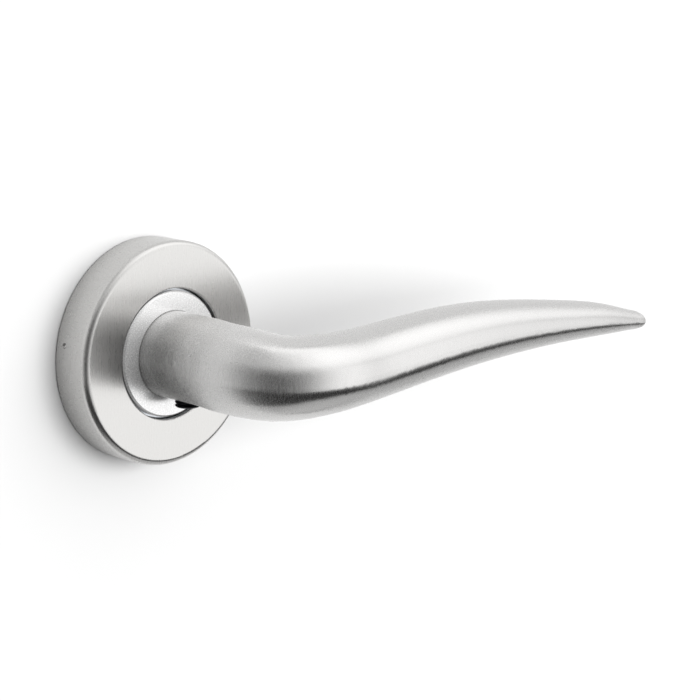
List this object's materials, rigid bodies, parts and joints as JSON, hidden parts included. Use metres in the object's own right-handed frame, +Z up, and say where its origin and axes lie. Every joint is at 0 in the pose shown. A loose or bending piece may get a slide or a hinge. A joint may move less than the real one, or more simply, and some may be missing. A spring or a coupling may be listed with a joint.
{
  "type": "door lever handle",
  "caption": "Door lever handle: wave-shaped tapering grip on a round sprung rose with a click-on cover, square spindle, bolt-through posts and set screw.",
  "frame": {"origin": "on the spindle's axis, in the plane of the door face that the rose sits on", "axes": "+X along the grip, from the spindle towards the tip; +Y into the door along the spindle; +Z up the door"},
  "size_m": [0.1655, 0.1014, 0.052],
  "materials": {
    "satin_rose": "satin brushed stainless steel, brushed up and down",
    "satin_collar": "fine satin stainless steel",
    "satin_lever": "satin stainless steel",
    "black_steel": "black oxide steel",
    "zinc_steel": "zinc plated steel",
    "zinc_casting": "die-cast zinc alloy, as cast",
    "black_nylon": "moulded nylon",
    "white_nylon": "moulded nylon",
    "spring_wire": "oiled spring steel",
    "bright_pin": "ground steel",
    "bright_screw": "nickel plated steel"
  },
  "bodies": {
    "rose": {"base_plate": "zinc_casting", "bearing_bush": "black_nylon", "cover_clip_ring": "spring_wire", "wave_washer": "spring_wire", "thrust_washer": "white_nylon", "return_spring": "spring_wire", "spring_anchor_pin": "bright_pin", "stop_pin_rest": "bright_pin", "stop_pin_open": "bright_pin", "bolt_post_upper": "zinc_steel", "bolt_post_lower": "zinc_steel", "wood_screw_left": "bright_screw", "wood_screw_right": "bright_screw"},
    "lever": {"lever": "satin_lever", "collar": "satin_collar", "drive_cam": "zinc_steel", "circlip": "black_steel", "spindle": "zinc_steel", "set_screw": "black_steel"},
    "cover": {"rose_cover": "satin_rose"}
  },
  "joints": [
    {"name": "lever_turn", "type": "hinge", "parent": "rose", "child": "lever", "pos_m": [0, 0, 0], "axis": [0, 1, 0], "range_deg": [0, 45], "stiffness_Nm_per_rad": 0.42, "springref_deg": -34.38, "deforming": ["return_spring"]},
    {"name": "cover_slide", "type": "slide", "parent": "rose", "child": "cover", "axis": [0, -1, 0], "range_m": [0, 0.02]}
  ]
}
